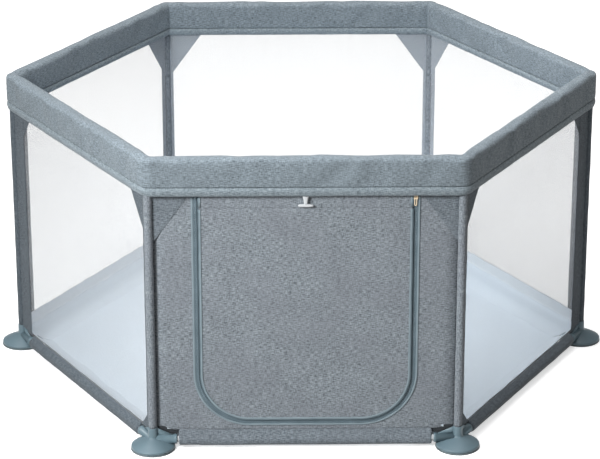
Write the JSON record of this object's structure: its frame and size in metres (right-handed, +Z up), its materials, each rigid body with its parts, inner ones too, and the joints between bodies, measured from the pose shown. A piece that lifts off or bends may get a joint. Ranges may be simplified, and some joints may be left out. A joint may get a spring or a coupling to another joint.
{
  "type": "playpen",
  "caption": "Hexagonal fabric playpen with a padded top rail, sheer mesh walls, a zipped cloth door and round suction feet.",
  "frame": {"origin": "on the floor under the middle of the pen", "axes": "+Z up, -Y out through the front wall with the door, +X to the right seen from the front"},
  "size_m": [1.46, 1.2778, 0.69],
  "materials": {
    "steel_tube": "powder-coated steel tube, hidden under the cloth",
    "dark_plastic": "moulded plastic corner joint, hidden in the rail",
    "foot_plastic": "satin blue-grey moulded plastic",
    "cup_rubber": "dark soft rubber",
    "rail_cloth": "heathered slate woven cloth over foam",
    "melange_cloth": "heathered grey-blue woven cloth",
    "gusset_cloth": "heathered grey-blue woven cloth, paler inside",
    "wall_mesh": "sheer white breathable mesh",
    "floor_cloth": "pale grey-blue coated cloth floor",
    "zip_tape": "woven zip tape with nylon coil",
    "zip_metal": "antique bronze zip slider",
    "toggle_metal": "pale grey moulded toggle",
    "screw_steel": "zinc-plated screw"
  },
  "bodies": {
    "frame": {"leg_tube_right": "steel_tube", "top_corner_right": "dark_plastic", "base_connector_right": "foot_plastic", "suction_cup_right": "cup_rubber", "leg_tube_back_right": "steel_tube", "top_corner_back_right": "dark_plastic", "base_connector_back_right": "foot_plastic", "suction_cup_back_right": "cup_rubber", "leg_tube_back_left": "steel_tube", "top_corner_back_left": "dark_plastic", "base_connector_back_left": "foot_plastic", "suction_cup_back_left": "cup_rubber", "leg_tube_left": "steel_tube", "top_corner_left": "dark_plastic", "base_connector_left": "foot_plastic", "suction_cup_left": "cup_rubber", "leg_tube_front_left": "steel_tube", "top_corner_front_left": "dark_plastic", "base_connector_front_left": "foot_plastic", "suction_cup_front_left": "cup_rubber", "leg_tube_front_right": "steel_tube", "top_corner_front_right": "dark_plastic", "base_connector_front_right": "foot_plastic", "suction_cup_front_right": "cup_rubber", "top_tube_front": "steel_tube", "bottom_tube_front": "steel_tube", "rail_pad_front": "rail_cloth", "top_tube_front_right": "steel_tube", "bottom_tube_front_right": "steel_tube", "rail_pad_front_right": "rail_cloth", "top_tube_back_right": "steel_tube", "bottom_tube_back_right": "steel_tube", "rail_pad_back_right": "rail_cloth", "top_tube_back": "steel_tube", "bottom_tube_back": "steel_tube", "rail_pad_back": "rail_cloth", "top_tube_back_left": "steel_tube", "bottom_tube_back_left": "steel_tube", "rail_pad_back_left": "rail_cloth", "top_tube_front_left": "steel_tube", "bottom_tube_front_left": "steel_tube", "rail_pad_front_left": "rail_cloth", "mesh_wall_front_right": "wall_mesh", "mesh_wall_back_right": "wall_mesh", "mesh_wall_back": "wall_mesh", "mesh_wall_back_left": "wall_mesh", "mesh_wall_front_left": "wall_mesh", "foot_screws": "screw_steel", "leg_sleeves": "melange_cloth", "rail_hems": "rail_cloth", "bottom_hems": "melange_cloth", "corner_gussets": "gusset_cloth", "floor_mat": "floor_cloth", "front_panel": "melange_cloth", "zip_track": "zip_tape"},
    "door": {"door_flap": "melange_cloth"},
    "zip_slider": {"zip_slider": "zip_metal"},
    "zip_pull": {"zip_pull": "zip_metal"},
    "toggle": {"toggle_stem": "toggle_metal", "toggle_bar": "toggle_metal"}
  },
  "joints": [
    {"name": "door_lift", "type": "hinge", "parent": "frame", "child": "door", "pos_m": [0, -0.5905, 0.5702], "axis": [-1, 0, 0], "range_deg": [0, 90]},
    {"name": "zip_slide", "type": "slide", "parent": "frame", "child": "zip_slider", "axis": [0, 0, -1], "range_m": [0, 0.4]},
    {"name": "zip_pull_swing", "type": "hinge", "parent": "zip_slider", "child": "zip_pull", "pos_m": [0.237, -0.5916, 0.5945], "axis": [-1, 0, 0], "range_deg": [0, 90]},
    {"name": "toggle_swing", "type": "hinge", "parent": "frame", "child": "toggle", "pos_m": [0, -0.5979, 0.6015], "axis": [-1, 0, 0], "range_deg": [0, 80]}
  ]
}
